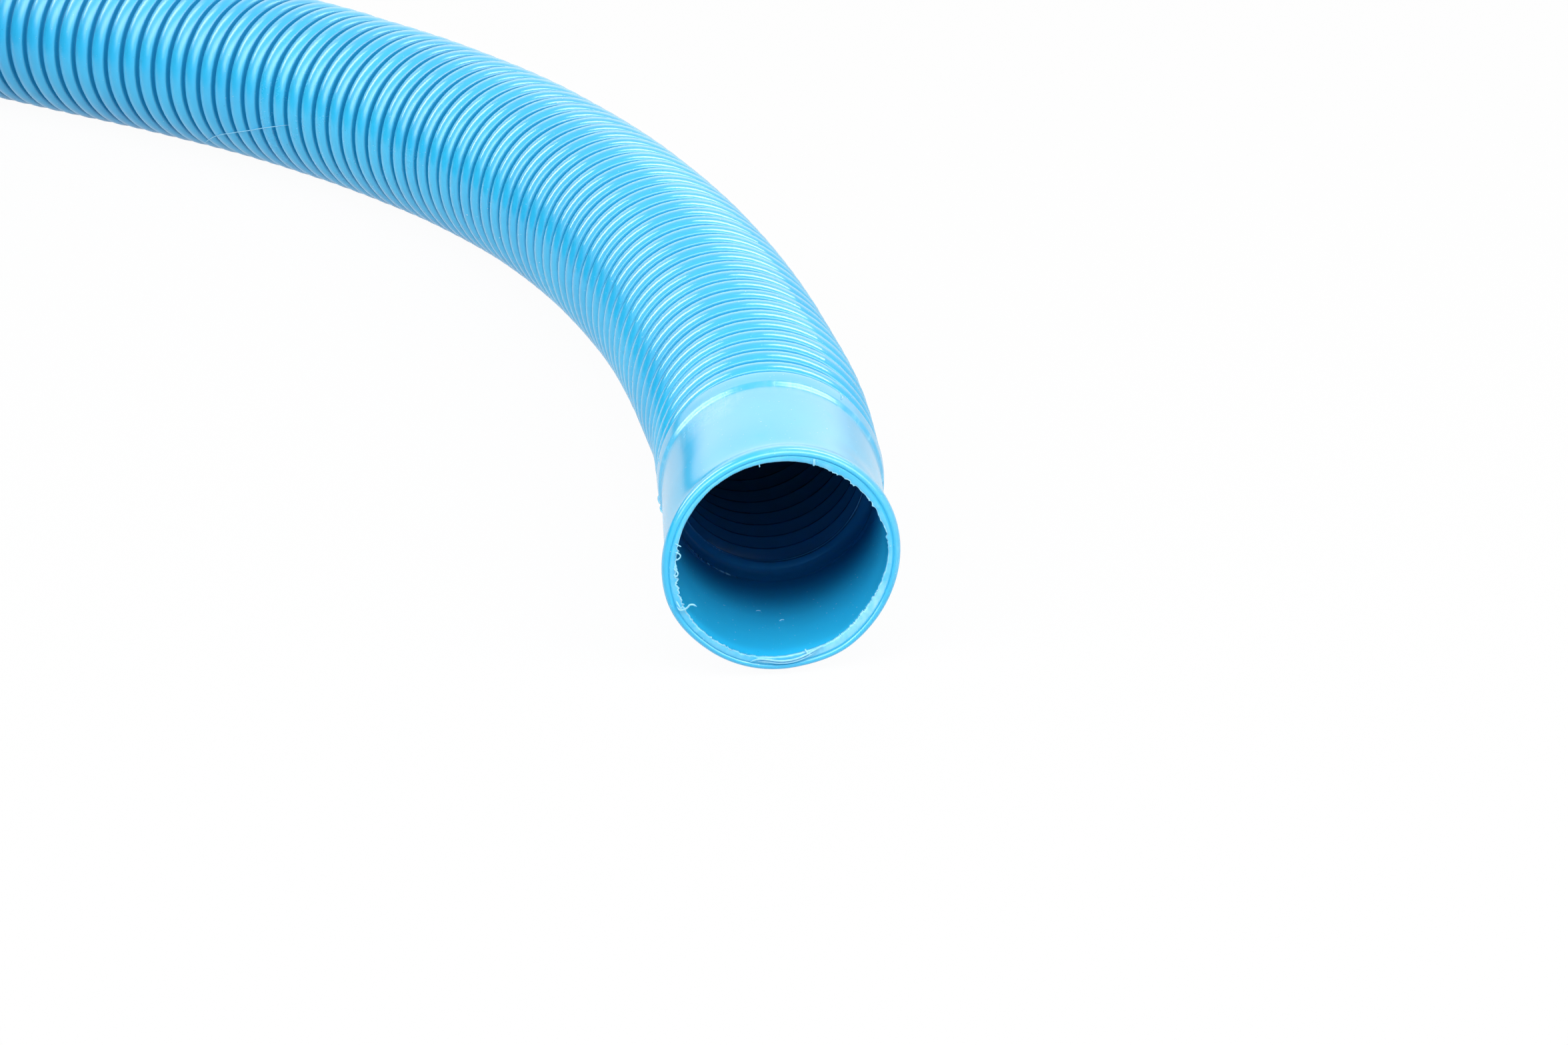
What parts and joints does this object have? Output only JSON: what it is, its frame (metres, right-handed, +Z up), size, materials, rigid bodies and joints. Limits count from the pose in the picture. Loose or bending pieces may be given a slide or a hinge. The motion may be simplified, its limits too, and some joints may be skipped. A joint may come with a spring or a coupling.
{
  "type": "pool vacuum hose",
  "caption": "Ribbed pool vacuum hose with a moulded cuff at one end, most of its length wound in a tied coil, and a swivelling cuff at the far end.",
  "frame": {"origin": "on the plane the hose lies on, under the middle of the whole", "axes": "+Z up; the fixed cuff's mouth faces -Y; the swivel cuff's mouth faces +X"},
  "size_m": [0.7356, 0.5258, 0.0825],
  "materials": {
    "hose_blue": "smooth blow-moulded polyethylene, semi-gloss",
    "cuff_blue": "injection-moulded, satin",
    "seal_black": "moulded rubber",
    "tie_black": "woven hook-and-loop webbing",
    "keeper_black": "moulded nylon"
  },
  "bodies": {
    "hose": {"fixed_cuff": "hose_blue", "hose_run": "hose_blue", "hose_coil": "hose_blue", "hose_tail": "hose_blue", "swivel_hub": "cuff_blue", "swivel_washer": "seal_black", "tie_strap_1": "tie_black", "tie_strap_2": "tie_black", "tie_strap_3": "tie_black", "tie_keeper_1": "keeper_black", "tie_keeper_2": "keeper_black", "tie_keeper_3": "keeper_black"},
    "swivel": {"swivel_cuff": "cuff_blue"}
  },
  "joints": [
    {"name": "swivel_turn", "type": "hinge", "parent": "hose", "child": "swivel", "pos_m": [0.0402, -0.24191, 0.0615], "axis": [1, 0, 0], "continuous": true}
  ]
}
